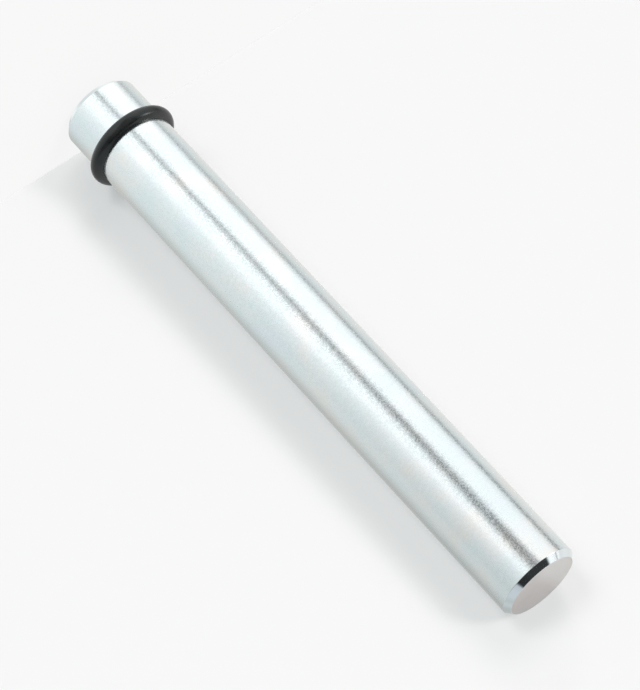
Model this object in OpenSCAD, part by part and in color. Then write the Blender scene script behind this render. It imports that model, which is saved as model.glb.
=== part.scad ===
// Bench pin: a plain turned bar that stands in a bench hole, with a rubber ring near its foot
// that grips the wall of the hole. The origin is the middle of the foot face and +Z runs up
// along the bar. Every size is in millimetres.

/* [Bar] */
// Diameter of the bar, a free fit in a 19.05 mm (3/4 in) bench hole
bar_d = 18.75; // [16:0.05:25.4]
// Length of the bar from the foot face to the top face
bar_len = 152.4; // [50:0.2:300]
// Length of the chamfer along the bar, the same at both ends
chamfer_len = 1.35; // [0.4:0.05:3]
// How far the chamfer cuts in from the side, the same at both ends
chamfer_in = 1.1; // [0.4:0.05:3]

/* [Rubber ring] */
// Thickness of the ring's round cord
cord_d = 3.5; // [2.5:0.05:4]
// Height of the middle of the ring above the foot face
ring_z = 12.8; // [8:0.05:30]
// How far the stretched ring flattens where it grips the groove floor
ring_flat = 0.05; // [0.02:0.01:0.2]

/* [Ring groove] */
// Depth of the groove below the side of the bar
groove_depth = 1.6; // [1:0.05:2.2]
// Free width beside the ring, on each of its two sides
groove_side_gap = 0.15; // [0.05:0.05:0.5]
// Radius in the two corners of the groove floor
groove_corner_r = 0.4; // [0.1:0.05:0.8]
// Bevel that breaks the two edges of the groove
groove_edge = 0.15; // [0.05:0.05:0.4]

/* [Hidden] */

// Facets of a whole turn, of the ring's cord and of a groove corner
turn_fn = 180;
cord_fn = 72;
corner_fn = 48;

bar_r = bar_d / 2;
cord_r = cord_d / 2;
groove_floor_r = bar_r - groove_depth;
groove_half_w = cord_r + groove_side_gap;
// The cord's middle line, which the ring's grip on the groove floor sets
ring_line_r = groove_floor_r + cord_r - ring_flat;
// Overlap that carries a cut clear of the side of the bar
cut_over = 1;

// Half section of the bar with its two chamfers, before the groove is cut
module bar_section() {
    polygon([
        [0, 0],
        [bar_r - chamfer_in, 0],
        [bar_r, chamfer_len],
        [bar_r, bar_len - chamfer_len],
        [bar_r - chamfer_in, bar_len],
        [0, bar_len],
    ]);
}

// Half section of the groove: straight walls, rounded floor corners and bevelled edges
module groove_section() {
    wall_h = groove_depth - groove_corner_r;
    // Both walls, from the floor's corners out past the side of the bar
    translate([groove_floor_r + groove_corner_r, -groove_half_w])
        square([wall_h + cut_over, 2 * groove_half_w]);
    // The floor between the two corners
    translate([groove_floor_r, groove_corner_r - groove_half_w])
        square([groove_depth, 2 * (groove_half_w - groove_corner_r)]);
    // The two rounded corners
    for (side = [-1, 1])
        translate([groove_floor_r + groove_corner_r, side * (groove_half_w - groove_corner_r)])
            circle(r = groove_corner_r, $fn = corner_fn);
    // The bevels open towards the side of the bar
    polygon([
        [bar_r - groove_edge, -groove_half_w],
        [bar_r + cut_over, -groove_half_w - groove_edge - cut_over],
        [bar_r + cut_over, groove_half_w + groove_edge + cut_over],
        [bar_r - groove_edge, groove_half_w],
    ]);
}

// The turned bar, in bright plated steel
module steel_bar() {
    color([0.80, 0.83, 0.84])
        rotate_extrude($fn = turn_fn)
            difference() {
                bar_section();
                translate([0, ring_z]) groove_section();
            }
}

// The stretched ring: a round cord that lies flat on the groove floor
module rubber_ring() {
    color([0.10, 0.11, 0.11])
        translate([0, 0, ring_z])
            difference() {
                rotate_extrude($fn = turn_fn)
                    translate([ring_line_r, 0]) circle(r = cord_r, $fn = cord_fn);
                cylinder(r = groove_floor_r, h = cord_d + cut_over, center = true, $fn = turn_fn);
            }
}

steel_bar();
rubber_ring();
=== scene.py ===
"""Looks of the bench pin: a zinc-plated steel bar with a black rubber ring in its groove.

The bar stands on its foot, on the floor at z = 0. The camera holds the pin at the angle of the
reference picture, where it lies across a pale sheet: the backdrop stands in that sheet's place,
close behind the pin, and the floor closes the corner under it.

Azimuths are degrees round the pin, from -Y, the photographer's side, towards +X on the right.
Elevations are degrees above the horizon.
"""
import math

import bpy
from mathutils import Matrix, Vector

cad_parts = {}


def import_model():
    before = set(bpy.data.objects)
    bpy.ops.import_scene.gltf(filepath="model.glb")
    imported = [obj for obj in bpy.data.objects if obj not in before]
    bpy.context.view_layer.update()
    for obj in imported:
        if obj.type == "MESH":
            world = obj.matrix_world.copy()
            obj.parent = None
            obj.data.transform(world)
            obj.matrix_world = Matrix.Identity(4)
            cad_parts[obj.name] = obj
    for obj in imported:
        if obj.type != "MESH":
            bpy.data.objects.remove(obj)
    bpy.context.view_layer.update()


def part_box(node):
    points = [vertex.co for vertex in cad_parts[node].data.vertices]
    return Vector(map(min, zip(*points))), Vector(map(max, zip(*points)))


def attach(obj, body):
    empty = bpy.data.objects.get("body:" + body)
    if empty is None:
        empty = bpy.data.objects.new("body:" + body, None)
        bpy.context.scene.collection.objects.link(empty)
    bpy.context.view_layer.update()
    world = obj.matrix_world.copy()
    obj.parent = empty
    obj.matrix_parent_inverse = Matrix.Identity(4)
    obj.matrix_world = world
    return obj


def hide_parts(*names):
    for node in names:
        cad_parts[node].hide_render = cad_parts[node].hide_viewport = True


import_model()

MM = 0.001
TINY = 1e-9

# ---------------------------------------------------------------- sizes, in metres

_, bar_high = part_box("steel_bar")
ring_low, ring_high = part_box("rubber_ring")

BAR_R = bar_high.x
BAR_LEN = bar_high.z
RING_Z = (ring_low.z + ring_high.z) / 2
CORD_R = (ring_high.z - ring_low.z) / 2
RING_LINE_R = ring_high.x - CORD_R

CHAMFER_LEN = 1.35 * MM
CHAMFER_IN = 1.1 * MM
RING_FLAT = 0.05 * MM
GROOVE_FLOOR_R = RING_LINE_R - CORD_R + RING_FLAT
# The walls of the groove stand against the ring here
GROOVE_HALF_W = CORD_R
GROOVE_CORNER_R = 0.4 * MM
GROOVE_EDGE = 0.05 * MM

# Small radii that tumbling and plating leave on the turned edges
FACE_EDGE_R = 0.10 * MM
SIDE_EDGE_R = 0.16 * MM
GROOVE_LIP_R = 0.03 * MM

# Steps round a whole turn, along a fillet and round the ring's cord
TURN_STEPS = 256
ARC_STEPS = 6
CORD_STEPS = 64
# The longest steps along the side, and along all that changes its radius
SIDE_STEP = 2.0 * MM
FACE_STEP = 1.0 * MM
# What lies this near to the full radius is still the side
SIDE_MARGIN = 0.03 * MM

# ---------------------------------------------------------------- turned meshes


def arc(here, back, ahead, fillet):
    """The fillet of a corner, whose two straights leave it along back and ahead."""
    half_turn = back.angle(ahead) / 2
    reach = fillet / math.tan(half_turn)
    middle = here + (back + ahead).normalized() * (fillet / math.sin(half_turn))
    start_normal = Vector((-back.y, back.x))
    end_normal = Vector((ahead.y, -ahead.x))
    turn = start_normal.angle(end_normal)
    # A convex corner's arc lies on the side of its normals, a hollow one's against them
    side = 1 if (here + back * reach - middle).dot(start_normal) > 0 else -1
    out = []
    for k in range(ARC_STEPS + 1):
        t = k / ARC_STEPS
        start_weight = math.sin((1 - t) * turn) / math.sin(turn)
        end_weight = math.sin(t * turn) / math.sin(turn)
        normal = start_normal * start_weight + end_normal * end_weight
        out.append((middle + normal * side * fillet, normal))
    return out


def rounded(corners):
    """Turns (radius, height, fillet) corners into points with outward normals, both as (r, z).

    The outline runs with the solid on its left. Its two ends lie on the axis and stay as they are.
    """
    out = []
    last = len(corners) - 1
    for i, (r, z, fillet) in enumerate(corners):
        here = Vector((r, z))
        back = (Vector(corners[i - 1][:2]) - here).normalized() if i > 0 else None
        ahead = (Vector(corners[i + 1][:2]) - here).normalized() if i < last else None
        if back is None or ahead is None:
            along = ahead if back is None else -back
            out.append((here, Vector((along.y, -along.x))))
        else:
            out += arc(here, back, ahead, fillet)
    return out


def with_steps(points, longest):
    """Adds points along the straights, so that no step is longer than longest says it may be."""
    out = [points[0]]
    for (a, a_normal), (b, b_normal) in zip(points, points[1:]):
        spans = max(1, math.ceil((b - a).length / longest(a, b)))
        for k in range(1, spans + 1):
            t = k / spans
            out.append((a.lerp(b, t), a_normal.lerp(b_normal, t).normalized()))
    return out


def spun_points(outline):
    """The vertices and normals of an outline spun round Z, and each point's ring of indices."""
    verts, normals, rings = [], [], []
    for (r, z), (normal_r, normal_z) in outline:
        first = len(verts)
        if r < TINY:
            rings.append([first])
            verts.append((0, 0, z))
            normals.append((0, 0, 1 if normal_z > 0 else -1))
            continue
        rings.append(range(first, first + TURN_STEPS))
        for k in range(TURN_STEPS):
            a = 2 * math.pi * k / TURN_STEPS
            verts.append((r * math.cos(a), r * math.sin(a), z))
            normals.append((normal_r * math.cos(a), normal_r * math.sin(a), normal_z))
    return verts, normals, rings


def band(lower, upper):
    """The faces between two rings of indices, of which one may be a single point on the axis."""
    faces = []
    for k in range(TURN_STEPS):
        n = (k + 1) % TURN_STEPS
        if len(lower) == 1:
            faces.append((lower[0], upper[n], upper[k]))
        elif len(upper) == 1:
            faces.append((lower[k], lower[n], upper[0]))
        else:
            faces.append((lower[k], lower[n], upper[n], upper[k]))
    return faces


def turned(name, outline, closed, slot_of, materials):
    """Spins an outline of (point, normal) pairs round the Z axis into a smooth mesh object."""
    verts, normals, rings = spun_points(outline)
    pairs = [(i, i + 1) for i in range(len(rings) - 1)]
    if closed:
        pairs.append((len(rings) - 1, 0))
    faces, slots = [], []
    for i, j in pairs:
        faces += band(rings[i], rings[j])
        slots += [slot_of(outline[i][0], outline[j][0])] * TURN_STEPS
    mesh = bpy.data.meshes.new(name)
    mesh.from_pydata(verts, [], faces)
    mesh.polygons.foreach_set("material_index", slots)
    mesh.polygons.foreach_set("use_smooth", [True] * len(faces))
    for made in materials:
        mesh.materials.append(made)
    mesh.update()
    mesh.normals_split_custom_set_from_vertices(normals)
    piece = bpy.data.objects.new(name, mesh)
    bpy.context.scene.collection.objects.link(piece)
    return piece


# ---------------------------------------------------------------- node helpers


class Nodes:
    """A short way to write shader nodes. Most calls add a node or a few and return an output."""

    def __init__(self, tree):
        self.tree = tree
        tree.nodes.clear()

    def add(self, kind, **settings):
        """A new node, itself and not its output."""
        node = self.tree.nodes.new(kind)
        for key, value in settings.items():
            setattr(node, key, value)
        return node

    def put(self, socket, value):
        """Links an output to a socket, or sets its value. None leaves the socket as it is."""
        if isinstance(value, bpy.types.NodeSocket):
            self.tree.links.new(value, socket)
        elif value is not None:
            socket.default_value = value

    def fill(self, node, **values):
        """Puts values into the sockets of these names, with a space for each underscore."""
        for key, value in values.items():
            self.put(node.inputs[key.replace("_", " ")], value)

    def fill_first(self, node, *values):
        for socket, value in zip(node.inputs, values):
            self.put(socket, value)

    def math(self, operation, *values):
        node = self.add("ShaderNodeMath", operation=operation)
        self.fill_first(node, *values)
        return node.outputs[0]

    def times(self, a, b):
        return self.math("MULTIPLY", a, b)

    def plus(self, a, b):
        return self.math("ADD", a, b)

    def minus(self, a, b):
        return self.math("SUBTRACT", a, b)

    def length(self, a, b):
        """The length of the flat vector (a, b)."""
        return self.math("SQRT", self.plus(self.math("POWER", a, 2.0), self.math("POWER", b, 2.0)))

    def vectors(self, operation, *values):
        node = self.add("ShaderNodeVectorMath", operation=operation)
        self.fill_first(node, *values)
        return node.outputs[0]

    def split(self, vector):
        """The X, Y and Z outputs of a vector."""
        node = self.add("ShaderNodeSeparateXYZ")
        self.fill_first(node, vector)
        return node.outputs

    def ramp(self, value, low, high, start=0.0, end=1.0, smooth=True):
        """start below low and end above high, and a smooth or straight rise between them."""
        node = self.add("ShaderNodeMapRange", clamp=True)
        node.interpolation_type = "SMOOTHSTEP" if smooth else "LINEAR"
        self.fill(node, From_Min=low, From_Max=high, To_Min=start, To_Max=end, Value=value)
        return node.outputs["Result"]

    def window(self, value, low, high, soft):
        """1 where value lies between low and high, with soft edges."""
        rise = self.ramp(self.minus(value, low), -soft, soft)
        fall = self.ramp(self.minus(value, high), -soft, soft, 1.0, 0.0)
        return self.times(rise, fall)

    def stops(self, value, stops):
        """A colour ramp through (position, colour) stops."""
        node = self.add("ShaderNodeValToRGB")
        elements = node.color_ramp.elements
        while len(elements) > 1:
            elements.remove(elements[-1])
        for i, (position, colour) in enumerate(stops):
            element = elements[0] if i == 0 else elements.new(position)
            element.position = position
            element.color = (*colour, 1.0)
        self.put(node.inputs["Fac"], value)
        return node.outputs["Color"]

    def mix_colour(self, share, a, b, blend="MIX"):
        node = self.add("ShaderNodeMix", data_type="RGBA", blend_type=blend)
        for index, value in ((0, share), (6, a), (7, b)):
            self.put(node.inputs[index], value)
        return node.outputs[2]

    def mix_value(self, share, a, b):
        node = self.add("ShaderNodeMix", data_type="FLOAT")
        for index, value in ((0, share), (2, a), (3, b)):
            self.put(node.inputs[index], value)
        return node.outputs[0]

    def object_point(self):
        return self.add("ShaderNodeTexCoord").outputs["Object"]

    def stretched(self, vector, scale):
        node = self.add("ShaderNodeMapping")
        self.fill(node, Vector=vector, Scale=scale)
        return node.outputs["Vector"]

    def noise(self, vector, scale, detail=2.0, roughness=0.5):
        node = self.add("ShaderNodeTexNoise")
        self.fill(node, Vector=vector, Scale=scale, Detail=detail, Roughness=roughness)
        return node.outputs["Fac"]

    def cells(self, vector, scale):
        """Small cells, each with its own random colour."""
        node = self.add("ShaderNodeTexVoronoi")
        self.fill(node, Vector=vector, Scale=scale)
        return node.outputs["Color"]

    def bump(self, height, distance, normal=None):
        node = self.add("ShaderNodeBump")
        self.fill(node, Height=height, Distance=distance, Strength=1.0, Normal=normal)
        return node.outputs["Normal"]

    def facets(self, normal, cells, tilt):
        """A normal tilted at random in every cell, by up to half of tilt either way."""
        shift = self.vectors("MULTIPLY", self.vectors("SUBTRACT", cells, (0.5, 0.5, 0.5)), tilt)
        return self.vectors("NORMALIZE", self.vectors("ADD", normal, shift))


def material(name):
    made = bpy.data.materials.new(name)
    made.use_nodes = True
    return made, Nodes(made.node_tree)


def principled(n, **values):
    shader = n.add("ShaderNodeBsdfPrincipled")
    n.fill(shader, **values)
    output = n.add("ShaderNodeOutputMaterial")
    n.put(output.inputs["Surface"], shader.outputs["BSDF"])


# ---------------------------------------------------------------- materials of the pin

# Scales of noise and cells are in features per metre. Clouds are soft patches of a finish, and
# its roughness goes from one value to the other as they go from CLOUD_LOW to CLOUD_HIGH.
CLOUD_LOW = 0.3
CLOUD_HIGH = 0.7

# The plate's colours, by the thickness of the film on it
PLATE_STRAW = (0.832, 0.868, 0.842)
PLATE_PLAIN = (0.802, 0.871, 0.880)
PLATE_CYAN = (0.764, 0.873, 0.884)
PLATE_BLUE = (0.772, 0.866, 0.908)
PLATE_STOPS = [(0.32, PLATE_STRAW), (0.44, PLATE_PLAIN), (0.56, PLATE_CYAN), (0.68, PLATE_BLUE)]
PLATE_EDGE_TINT = (1.0, 0.985, 0.955, 1.0)
PLATE_CLOUDS = 130
# Slow waves along the bar, a pebbled skin on them, and crystals that sparkle one by one
PLATE_WAVES = 150
PLATE_WAVE_DEPTH = 0.035 * MM
PLATE_PEBBLES = 900
PLATE_PEBBLE_DEPTH = 0.015 * MM
CRYSTALS = 5200
CRYSTAL_TILT = (0.052, 0.052, 0.025)
BRIGHT_ROUGHNESS = 0.07
DULL_ROUGHNESS = (0.26, 0.32)

EDGE_CLOUDS = 240
EDGE_ROUGHNESS = (0.07, 0.11)
EDGE_TOOL_LINES = 9000
EDGE_TOOL_DEPTH = 0.001 * MM

# The end faces go from FACE_GREY to the warmer, darker FACE_WARM partly in random clouds and
# partly by a painted reflection of the shadowed sheet beyond the top end
FACE_WARM = (0.649, 0.603, 0.589)
FACE_GREY = (0.672, 0.665, 0.645)
FACE_CLOUDS = 200
FACE_CLOUD_SHARE = 0.4
FACE_ROUGHNESS = (0.30, 0.36)
FACE_RING_PITCH = 0.16 * MM
FACE_RING_DEPTH = 0.0006 * MM
FACE_GRAIN = 3000
FACE_GRAIN_DEPTH = 0.006 * MM
# The way across the faces in which a painted shade darkens them, a painted reflection of the
# sheet's shadow, its two stretches and the loss over each
FACE_PAINTED_SHADE_WAY = (0.86, 0.51)
FACE_PAINTED_SHADE_NEAR = (-4.0 * MM, 0.5 * MM)
FACE_PAINTED_SHADE_FAR = (0.5 * MM, 8.0 * MM)
FACE_PAINTED_SHADE_NEAR_LOSS = 0.10
FACE_PAINTED_SHADE_FAR_LOSS = 0.05

RUBBER_STOPS = [(0.35, (0.0045, 0.0055, 0.006)), (0.65, (0.0100, 0.0115, 0.0115))]
RUBBER_SHEEN = (0.90, 1.0, 0.99, 1.0)
RUBBER_BLOOM = 420
RUBBER_ROUGHNESS = (0.22, 0.32)
RUBBER_SKIN = 3200
RUBBER_SKIN_DEPTH = 0.006 * MM
RUBBER_IOR = 1.5


def zinc_plate():
    """Bright zinc over a drawn bar: soft clouds of tint, slow waves and a sparkling grain."""
    made, n = material("zinc_plate")
    point = n.object_point()
    clouds = n.noise(n.stretched(point, (1, 1, 0.6)), PLATE_CLOUDS, detail=2.5, roughness=0.55)
    waves = n.noise(n.stretched(point, (1, 1, 0.5)), PLATE_WAVES, detail=1.0)
    pebbles = n.noise(point, PLATE_PEBBLES, detail=1.0)
    crystals = n.cells(point, CRYSTALS)
    # A quarter of the crystals is bright, a quarter is dull, and the rest lies between
    dull = n.ramp(n.split(crystals)["Z"], 0.25, 0.75)
    dull_roughness = n.ramp(clouds, CLOUD_LOW, CLOUD_HIGH, *DULL_ROUGHNESS)
    normal = n.bump(waves, PLATE_WAVE_DEPTH)
    normal = n.bump(pebbles, PLATE_PEBBLE_DEPTH, normal=normal)
    principled(
        n, Base_Color=n.stops(clouds, PLATE_STOPS), Metallic=1.0,
        Roughness=n.mix_value(dull, BRIGHT_ROUGHNESS, dull_roughness),
        Normal=n.facets(normal, crystals, CRYSTAL_TILT), Specular_Tint=PLATE_EDGE_TINT,
    )
    return made


def turned_edge():
    """The chamfers and the groove: cut with a keen tool, so smoother than the side."""
    made, n = material("turned_edge")
    point = n.object_point()
    clouds = n.noise(point, EDGE_CLOUDS)
    lines = n.noise(n.stretched(point, (0.2, 0.2, 1)), EDGE_TOOL_LINES, detail=1.0)
    principled(
        n, Base_Color=n.mix_colour(clouds, (*PLATE_CYAN, 1), (*PLATE_BLUE, 1)), Metallic=1.0,
        Roughness=n.ramp(clouds, CLOUD_LOW, CLOUD_HIGH, *EDGE_ROUGHNESS),
        Normal=n.bump(lines, EDGE_TOOL_DEPTH), Specular_Tint=PLATE_EDGE_TINT,
    )
    return made


def face_tint_with_painted_shade(n, x, y, clouds):
    """The colour of the end faces, warmer and darker towards one side by a painted shade, a
    painted reflection of the sheet's shadow, and warmer in random clouds.
    """
    across = n.plus(n.times(x, FACE_PAINTED_SHADE_WAY[0]), n.times(y, FACE_PAINTED_SHADE_WAY[1]))
    painted_shade_near = n.ramp(across, *FACE_PAINTED_SHADE_NEAR)
    painted_shade_far = n.ramp(across, *FACE_PAINTED_SHADE_FAR)
    # The warmth follows the painted shade for most of its share, and random clouds for the rest
    warmth_from_painted_shade_and_clouds = n.mix_value(FACE_CLOUD_SHARE, painted_shade_near, clouds)
    tint = n.mix_colour(warmth_from_painted_shade_and_clouds, (*FACE_GREY, 1), (*FACE_WARM, 1))
    # A painted shade: the faces darken along the way across them
    painted_shade_loss = n.plus(n.times(painted_shade_near, FACE_PAINTED_SHADE_NEAR_LOSS), n.times(painted_shade_far, FACE_PAINTED_SHADE_FAR_LOSS))
    return n.mix_colour(1.0, tint, n.minus(1.0, painted_shade_loss), "MULTIPLY")


def turned_face():
    """The two end faces: fine rings from the facing tool, under a soft matte plate."""
    made, n = material("turned_face")
    point = n.object_point()
    x, y, _ = n.split(point)
    rings = n.math("SINE", n.times(n.length(x, y), 2 * math.pi / FACE_RING_PITCH))
    clouds = n.noise(point, FACE_CLOUDS, detail=3.0, roughness=0.6)
    grain = n.noise(point, FACE_GRAIN, roughness=0.6)
    normal = n.bump(rings, FACE_RING_DEPTH)
    # The base colour carries a painted shade, a painted reflection of the sheet's shadow across
    # the faces
    principled(
        n, Base_Color=face_tint_with_painted_shade(n, x, y, clouds), Metallic=1.0,
        Roughness=n.ramp(clouds, CLOUD_LOW, CLOUD_HIGH, *FACE_ROUGHNESS),
        Normal=n.bump(grain, FACE_GRAIN_DEPTH, normal=normal),
    )
    return made


def black_rubber():
    """Moulded rubber with a dusty bloom that is thicker in patches."""
    made, n = material("black_rubber")
    point = n.object_point()
    bloom = n.noise(point, RUBBER_BLOOM, detail=4.0, roughness=0.6)
    principled(
        n, Base_Color=n.stops(bloom, RUBBER_STOPS),
        Roughness=n.ramp(bloom, CLOUD_LOW, CLOUD_HIGH, *RUBBER_ROUGHNESS),
        Normal=n.bump(n.noise(point, RUBBER_SKIN), RUBBER_SKIN_DEPTH), IOR=RUBBER_IOR,
        Specular_Tint=RUBBER_SHEEN,
    )
    return made


# ---------------------------------------------------------------- the two pieces


def bar_outline():
    """Half section of the bar, from the middle of its foot to the middle of its top."""
    lip_low = RING_Z - GROOVE_HALF_W
    lip_high = RING_Z + GROOVE_HALF_W
    face_r = BAR_R - CHAMFER_IN
    lip_r = BAR_R - GROOVE_EDGE
    return rounded([
        (0, 0, 0),
        (face_r, 0, FACE_EDGE_R),
        (BAR_R, CHAMFER_LEN, SIDE_EDGE_R),
        (BAR_R, lip_low - GROOVE_EDGE, GROOVE_LIP_R),
        (lip_r, lip_low, GROOVE_LIP_R),
        (GROOVE_FLOOR_R, lip_low, GROOVE_CORNER_R),
        (GROOVE_FLOOR_R, lip_high, GROOVE_CORNER_R),
        (lip_r, lip_high, GROOVE_LIP_R),
        (BAR_R, lip_high + GROOVE_EDGE, GROOVE_LIP_R),
        (BAR_R, BAR_LEN - CHAMFER_LEN, SIDE_EDGE_R),
        (face_r, BAR_LEN, FACE_EDGE_R),
        (0, BAR_LEN, 0),
    ])


def steel_bar():
    side, edge, face = range(3)

    def longest(a, b):
        return SIDE_STEP if abs(a.x - b.x) < TINY else FACE_STEP

    def slot_of(a, b):
        if abs(a.y - b.y) < TINY and (a.y < TINY or a.y > BAR_LEN - TINY):
            return face
        return side if min(a.x, b.x) > BAR_R - SIDE_MARGIN else edge

    outline = with_steps(bar_outline(), longest)
    materials = [zinc_plate(), turned_edge(), turned_face()]
    bar = turned("bar_turned", outline, False, slot_of, materials)
    # The paper takes no light thrown back by the pin, only its shadow
    bar.visible_diffuse = False
    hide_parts("steel_bar")
    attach(bar, "root")


def rubber_ring():
    """A round cord, a little flat where it lies on the floor of the groove."""
    flat_half = math.sqrt(CORD_R**2 - (CORD_R - RING_FLAT) ** 2)
    flat_angle = math.asin(flat_half / CORD_R)
    outline = []
    for k in range(CORD_STEPS + 1):
        a = -math.pi + flat_angle + (2 * math.pi - 2 * flat_angle) * k / CORD_STEPS
        normal = Vector((math.cos(a), math.sin(a)))
        outline.append((Vector((RING_LINE_R, RING_Z)) + normal * CORD_R, normal))
    ring = turned("ring_moulded", outline, True, lambda a, b: 0, [black_rubber()])
    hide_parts("rubber_ring")
    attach(ring, "root")


# ---------------------------------------------------------------- camera

CAMERA_AIM = Vector((-0.291, -0.111, 79.665)) * MM
CAMERA_DISTANCE = 580.53 * MM
CAMERA_AZIMUTH = 20.851
CAMERA_ELEVATION = 23.336
CAMERA_ROLL = -137.058
CAMERA_LENS = 141.12
CAMERA_NEAR = 0.01
CAMERA_FAR = 20.0


def direction(azimuth, elevation):
    """The unit vector from the pin towards an azimuth and an elevation."""
    a, e = math.radians(azimuth), math.radians(elevation)
    return Vector((math.sin(a) * math.cos(e), -math.cos(a) * math.cos(e), math.sin(e)))


def camera():
    data = bpy.data.cameras.new("camera")
    data.lens = CAMERA_LENS
    data.clip_start = CAMERA_NEAR
    data.clip_end = CAMERA_FAR
    made = bpy.data.objects.new("camera", data)
    bpy.context.scene.collection.objects.link(made)
    back = direction(CAMERA_AZIMUTH, CAMERA_ELEVATION)
    upright = (Vector((0, 0, 1)) - back * back.z).normalized()
    sideways = upright.cross(back)
    roll = math.radians(CAMERA_ROLL)
    up = upright * math.cos(roll) + sideways * math.sin(roll)
    right = up.cross(back)
    matrix = made.matrix_world.to_3x3()
    matrix.col[0], matrix.col[1], matrix.col[2] = right, up, back
    made.matrix_world = matrix.to_4x4()
    made.location = CAMERA_AIM + back * CAMERA_DISTANCE
    bpy.context.scene.camera = made


# ---------------------------------------------------------------- stage

PAPER = 0.939  # the pale background, 248 of 255 when shown
PAPER_COLOUR = 0.5
FLOOR_COLOUR = 0.12
BACKDROP_GLOW = (0.3030, 0.3231, 0.3236)
FLOOR_GLOW = (0.841, 0.841, 0.841)
STAGE_HALF = 3.0
BACKDROP_HALF_HIGH = 1.0
# The part of the backdrop that the top end mirrors
MIRRORED_X = -2 * MM
MIRRORED_HALF_WIDE = 10 * MM
MIRRORED_HALF_HIGH = 12 * MM


def plane(name, centre, across, up, half_w, half_h, made):
    """A sheet for the camera alone: it takes shadows, but casts none and isn't mirrored."""
    corners = [(-1, -1), (1, -1), (1, 1), (-1, 1)]
    verts = [centre + across * (x * half_w) + up * (y * half_h) for x, y in corners]
    mesh = bpy.data.meshes.new(name)
    mesh.from_pydata(verts, [], [(0, 1, 2, 3)])
    mesh.materials.append(made)
    sheet = bpy.data.objects.new(name, mesh)
    bpy.context.scene.collection.objects.link(sheet)
    sheet.visible_diffuse = False
    sheet.visible_glossy = False
    sheet.visible_shadow = False
    return sheet


def paper(name, shade, glow):
    """A pale sheet, seen from its front only, whose glow keeps the shadows on it pale."""
    made, n = material(name)
    diffuse = n.add("ShaderNodeBsdfDiffuse")
    n.fill(diffuse, Color=(shade, shade, shade, 1))
    light = n.add("ShaderNodeEmission")
    n.fill(light, Color=(*glow, 1))
    front = n.add("ShaderNodeAddShader")
    n.fill_first(front, diffuse.outputs[0], light.outputs[0])
    behind = n.add("ShaderNodeNewGeometry").outputs["Backfacing"]
    clear = n.add("ShaderNodeBsdfTransparent")
    mix = n.add("ShaderNodeMixShader")
    n.fill_first(mix, behind, front.outputs[0], clear.outputs[0])
    output = n.add("ShaderNodeOutputMaterial")
    n.put(output.inputs["Surface"], mix.outputs[0])
    return made


def stage():
    along_x = Vector((1, 0, 0))
    along_y = Vector((0, 1, 0))
    # The sheet touches the ring and the rim of the top end, as a table under the lying pin would
    ring_touch = Vector((0, RING_LINE_R + CORD_R, RING_Z))
    rim_touch = Vector((0, BAR_R, BAR_LEN - CHAMFER_LEN))
    up = (rim_touch - ring_touch).normalized()
    foot = ring_touch - up * (RING_Z / up.z)
    # The floor ends where the sheet begins
    floor_paper = paper("floor_paper", FLOOR_COLOUR, FLOOR_GLOW)
    centre = foot - along_y * STAGE_HALF
    plane("floor", centre, along_x, along_y, STAGE_HALF, STAGE_HALF, floor_paper)
    sheet = paper("backdrop_paper", PAPER_COLOUR, BACKDROP_GLOW)
    centre = foot + up * BACKDROP_HALF_HIGH
    plane("backdrop", centre, along_x, up, STAGE_HALF, BACKDROP_HALF_HIGH, sheet)
    # The top end mirrors the part of the sheet just beyond it, with the pin's shadow
    centre = foot + up * (BAR_LEN + MIRRORED_HALF_HIGH) + along_x * MIRRORED_X
    mirrored = plane(
        "backdrop_mirrored", centre, along_x, up, MIRRORED_HALF_WIDE, MIRRORED_HALF_HIGH, sheet
    )
    mirrored.visible_camera = False
    mirrored.visible_glossy = True


# ---------------------------------------------------------------- lamps

# The lamps light the paper and the rubber, and throw the shadow. Nothing mirrors them. Each has a
# name, azimuth, elevation, strength, width in degrees and colour: a tall soft box on the left in
# four parts, a smaller one on the right in two, and one overhead.
KEY_COLOUR = (1.0, 0.92, 0.92)
WHITE = (1.0, 1.0, 1.0)
LAMPS = [
    ("key_high", -32, 30, 0.930, 14, KEY_COLOUR),
    ("key_side", -38, 20, 0.203, 14, KEY_COLOUR),
    ("key_low", -26, -20, 0.687, 24, KEY_COLOUR),
    ("key_lowest", -38, -45, 0.294, 14, KEY_COLOUR),
    ("fill_near", 14, -20, 0.314, 14, WHITE),
    ("fill_wide", 21, -20, 0.571, 24, WHITE),
    ("top", 0, 90, 0.5, 70, WHITE),
]


def lamp(name, azimuth, elevation, strength, width, colour):
    """A sun that shines on the pin from the given direction, with a disc of the given width."""
    data = bpy.data.lights.new(name, "SUN")
    data.energy = strength
    data.color = colour
    data.angle = math.radians(width)
    made = bpy.data.objects.new(name, data)
    bpy.context.scene.collection.objects.link(made)
    made.rotation_mode = "QUATERNION"
    made.rotation_quaternion = direction(azimuth, elevation).to_track_quat("Z", "Y")
    made.visible_glossy = False


# ---------------------------------------------------------------- the studio round the pin

SOFT_LIGHT = 0.5  # what the paper and the rubber get from all round, besides the lamps

# Brightness by azimuth, where the side of the pin mirrors it near its foot and near its top
STUDIO = [
    # Behind the pin, and the wall on the left
    (-180, 0.57, 0.55), (-169, 0.62, 0.60), (-149, 0.86, 0.88), (-129, 0.83, 0.87),
    (-109, 0.82, 0.83), (-97, 0.74, 0.76), (-86, 0.85, 0.88), (-76, 0.94, 0.92),
    # The two soft boxes
    (-62, 1.24, 1.07), (-20, 1.28, 1.12), (30, 1.28, 1.10), (40, 1.18, 0.88),
    # The wall on the right, which fades towards the back
    (51, 1.03, 0.79), (71, 0.95, 0.67), (91, 0.89, 0.63), (101, 0.88, 0.68),
    (121, 0.84, 0.68), (141, 0.73, 0.57), (161, 0.62, 0.46), (180, 0.57, 0.55),
]
FOOT_ELEVATION = -27.0
TOP_ELEVATION = -16.5

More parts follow.
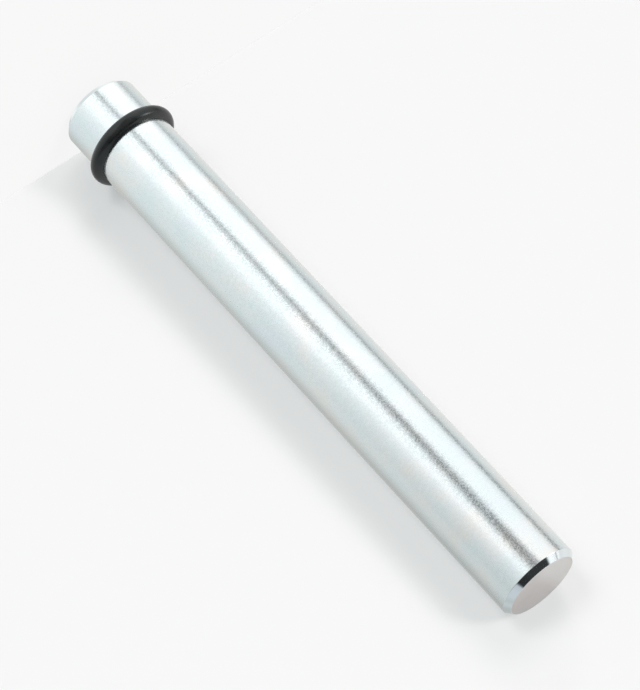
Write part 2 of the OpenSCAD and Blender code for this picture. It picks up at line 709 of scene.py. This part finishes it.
# Tints by azimuth, below the horizon and above it
LOW_TINTS = [
    (-180, (1.00, 1.00, 1.00)), (-119, (1.03, 1.00, 1.00)), (-99, (1.022, 1.00, 1.00)),
    (-59, (1.034, 1.00, 1.00)), (40, (1.036, 1.00, 1.00)), (61, (1.01, 1.00, 1.00)),
    (80, (1.00, 1.00, 1.00)), (120, (1.00, 1.00, 1.00)), (140, (1.02, 1.00, 0.985)),
    (166, (1.02, 1.00, 0.985)), (180, (1.00, 1.00, 1.00)),
]
HIGH_TINTS = [
    (-180, (1.00, 1.00, 1.00)), (-150, (1.03, 0.99, 0.985)), (-130, (1.05, 0.985, 0.975)),
    (-70, (1.05, 0.985, 0.975)), (-50, (1.00, 1.00, 1.00)), (70, (1.00, 1.00, 1.00)),
    (85, (0.99, 1.00, 1.04)), (120, (0.99, 1.00, 1.03)), (140, (1.00, 1.00, 1.00)),
]
HIGH_TINT_RISE = (0, 15)

# Brightness and tints go through colour ramps divided by this, since a ramp holds up to 1
RAMP_SHARE = 2.0
UNTINTED = (1 / RAMP_SHARE, 1 / RAMP_SHARE, 1 / RAMP_SHARE, 1)

# Below, a WINDOW is a stretch of azimuth or elevation and how soft its edges are. A RISE or a
# FALL is the stretch of elevation in which something comes in or goes out. A GAIN or a LEFT is
# what the brightness is multiplied by there. Pairs named FOOT_TO_TOP are as in STUDIO.

# The pale floor, and the pin's own shade on it
FLOOR_LEVEL = 1.02
FLOOR_FALL = (-52, -38)
ABOVE_FLOOR_RISE = (-46, -34)
PIN_SHADE_FALL = (-68, -58)
PIN_SHADE_LEFT = 0.83

# The line where the table ends
LINE_WINDOW = (-92.5, -79.5, 6.0)
LINE_FALL = (5, 25)
LINE_LEFT_FOOT_TO_TOP = (0.64, 0.40)

# The upper part of the left soft box
HIGH_RISE = (5, 25)
HIGH_RIM_WINDOW = (-90, -82, 4.0)
HIGH_RIM_GAIN = 1.18
HIGH_SEAM_WINDOW = (-85, -81.5, 1.5)
HIGH_SEAM_LEFT = 0.36
HIGH_BOX_WINDOW = (-126, -62, 5.0)
HIGH_BOX_GAIN = 1.13

# The gap between the soft boxes
GAP_MIDDLE_FOOT_TO_TOP = (-6.0, -0.9)
GAP_HALF_FOOT_TO_TOP = (4.8, 15.4)
GAP_HALF_POWER = 1.4
GAP_DEPTH_FOOT_TO_TOP = (0.80, 0.75)
GAP_SOFT = 9.5
GAP_FALL = (0, 8)
GAP_LEFT = 0.05

# The photographer's side of the room. Its edges lean to the left as they rise through ROOM_LEAN.
# It is darkest high up, and the ceiling over all is dim
ROOM_LEAN = (8, 50)
ROOM_FROM = (-25, -56)
ROOM_TO = (104, 80)
ROOM_SOFT = 6.0
ROOM_RISE = (0, 8)
ROOM_LEFT = 0.33
DARKEST_WINDOW = (46, 72, 4.0)
DARKEST_LEFT = 0.11
CEILING_RISE = (68, 80)
CEILING_LEFT = 0.5

# A bare lamp high on the left
BARE_LAMP_AZIMUTH = -62.0
BARE_LAMP_ELEVATION = 32.0
BARE_LAMP_SQUEEZE = 0.8
BARE_LAMP_EDGE = (3.0, 10.0)
BARE_LAMP_LEVEL = 6.0

# The sheet beyond the top end
BEYOND_RISE = (0, 20)
BEYOND_WINDOW = (142, 184, 8.0)
BEYOND_GAIN = 1.26


class Sky(Nodes):
    """The nodes of the world, with the direction that a ray looks in."""

    def __init__(self, tree):
        super().__init__(tree)
        x, y, z = self.split(self.add("ShaderNodeTexCoord").outputs["Generated"])
        degrees = 180 / math.pi
        self.azimuth = self.times(self.math("ARCTAN2", x, self.times(y, -1.0)), degrees)
        self.elevation = self.times(self.math("ARCSINE", z), degrees)
        # The azimuth as a share of the whole turn, as colour ramps need it
        self.turn = self.ramp(self.azimuth, -180, 180, smooth=False)
        # 0 where the side of the pin mirrors it near its foot, and 1 near its top
        self.height = self.ramp(self.elevation, FOOT_ELEVATION, TOP_ELEVATION, smooth=False)
        self.above_floor = self.rise(ABOVE_FLOOR_RISE)

    def rise(self, stretch):
        return self.ramp(self.elevation, *stretch)

    def fall(self, stretch):
        return self.ramp(self.elevation, *stretch, 1.0, 0.0)

    def around(self, window):
        return self.window(self.azimuth, *window)

    def foot_to_top(self, values):
        return self.mix_value(self.height, *values)

    def scaled(self, level, share, factor):
        """level, times factor where share is 1."""
        return self.times(level, self.mix_value(share, 1.0, factor))

    def by_azimuth(self, rows):
        """A ramp through (azimuth, colour) rows, divided by RAMP_SHARE."""
        stops = [((a + 180) / 360, [c / RAMP_SHARE for c in colour]) for a, colour in rows]
        return self.stops(self.turn, stops)


def soft_boxes(n):
    """The soft boxes and the walls, as the side of the pin mirrors them."""
    foot = n.by_azimuth([(a, (by_foot,) * 3) for a, by_foot, by_top in STUDIO])
    top = n.by_azimuth([(a, (by_top,) * 3) for a, by_foot, by_top in STUDIO])
    return n.times(n.foot_to_top((foot, top)), RAMP_SHARE)


def with_floor(n, level):
    """The pale floor under all the rest, in the pin's own shade right below the pin."""
    level = n.mix_value(n.fall(FLOOR_FALL), level, FLOOR_LEVEL)
    return n.scaled(level, n.fall(PIN_SHADE_FALL), PIN_SHADE_LEFT)


def with_table_line(n, level):
    """The soft dark line where the table ends, beside the left soft box."""
    line = n.times(n.times(n.above_floor, n.around(LINE_WINDOW)), n.fall(LINE_FALL))
    return n.scaled(level, line, n.foot_to_top(LINE_LEFT_FOOT_TO_TOP))


def with_high_box(n, level):
    """The upper part of the left soft box, with a bright rim and a dark seam."""
    high_up = n.rise(HIGH_RISE)
    level = n.scaled(level, n.times(high_up, n.around(HIGH_RIM_WINDOW)), HIGH_RIM_GAIN)
    level = n.scaled(level, n.times(high_up, n.around(HIGH_SEAM_WINDOW)), HIGH_SEAM_LEFT)
    return n.scaled(level, n.times(high_up, n.around(HIGH_BOX_WINDOW)), HIGH_BOX_GAIN)


def with_gap(n, level):
    """The dark gap between the two soft boxes, narrower by the foot."""
    off = n.math("ABSOLUTE", n.minus(n.azimuth, n.foot_to_top(GAP_MIDDLE_FOOT_TO_TOP)))
    half = n.mix_value(n.math("POWER", n.height, GAP_HALF_POWER), *GAP_HALF_FOOT_TO_TOP)
    gap = n.ramp(n.minus(off, half), -GAP_SOFT, GAP_SOFT, 1.0, 0.0)
    gap = n.times(n.times(gap, n.foot_to_top(GAP_DEPTH_FOOT_TO_TOP)), n.above_floor)
    return n.scaled(level, n.times(gap, n.fall(GAP_FALL)), GAP_LEFT)


def with_room(n, level):
    """The photographer's side is dim and darkest high up, under a ceiling at half its level."""
    start = n.ramp(n.elevation, *ROOM_LEAN, *ROOM_FROM, smooth=False)
    end = n.ramp(n.elevation, *ROOM_LEAN, *ROOM_TO, smooth=False)
    room = n.window(n.azimuth, start, end, ROOM_SOFT)
    level = n.scaled(level, n.times(room, n.rise(ROOM_RISE)), ROOM_LEFT)
    darkest = n.times(room, n.window(n.elevation, *DARKEST_WINDOW))
    level = n.scaled(level, darkest, DARKEST_LEFT)
    return n.scaled(level, n.rise(CEILING_RISE), CEILING_LEFT)


def with_bare_lamp(n, level):
    """A bare lamp, seen in the ring."""
    aside = n.times(n.minus(n.azimuth, BARE_LAMP_AZIMUTH), BARE_LAMP_SQUEEZE)
    off = n.length(aside, n.minus(n.elevation, BARE_LAMP_ELEVATION))
    return n.plus(level, n.ramp(off, *BARE_LAMP_EDGE, BARE_LAMP_LEVEL, 0.0))


def with_sheet_beyond(n, level):
    """The sheet beyond the top end, as the chamfer mirrors it."""
    return n.scaled(level, n.times(n.rise(BEYOND_RISE), n.around(BEYOND_WINDOW)), BEYOND_GAIN)


LAYERS = [
    with_floor, with_table_line, with_high_box, with_gap, with_room, with_bare_lamp,
    with_sheet_beyond,
]


def world():
    """The studio for the metal to mirror, an even soft light for the rest, and a pale ground."""
    made = bpy.data.worlds.new("studio")
    bpy.context.scene.world = made
    made.use_nodes = True
    made.cycles.sampling_method = "NONE"
    n = Sky(made.node_tree)
    level = soft_boxes(n)
    for layer in LAYERS:
        level = layer(n, level)
    tint = n.mix_colour(n.rise(HIGH_TINT_RISE), n.by_azimuth(LOW_TINTS), n.by_azimuth(HIGH_TINTS))
    rays = n.add("ShaderNodeLightPath").outputs
    mirrored = n.math("MAXIMUM", rays["Is Glossy Ray"], rays["Is Transmission Ray"])
    plain = n.mix_value(rays["Is Camera Ray"], SOFT_LIGHT, PAPER)
    background = n.add("ShaderNodeBackground")
    n.put(background.inputs["Color"], n.mix_colour(mirrored, UNTINTED, tint))
    strength = n.times(n.mix_value(mirrored, plain, level), RAMP_SHARE)
    n.put(background.inputs["Strength"], strength)
    output = n.add("ShaderNodeOutputWorld")
    n.put(output.inputs["Surface"], background.outputs[0])


camera()
steel_bar()
rubber_ring()
stage()
for row in LAMPS:
    lamp(*row)
world()
bpy.context.scene.view_settings.view_transform = "Standard"
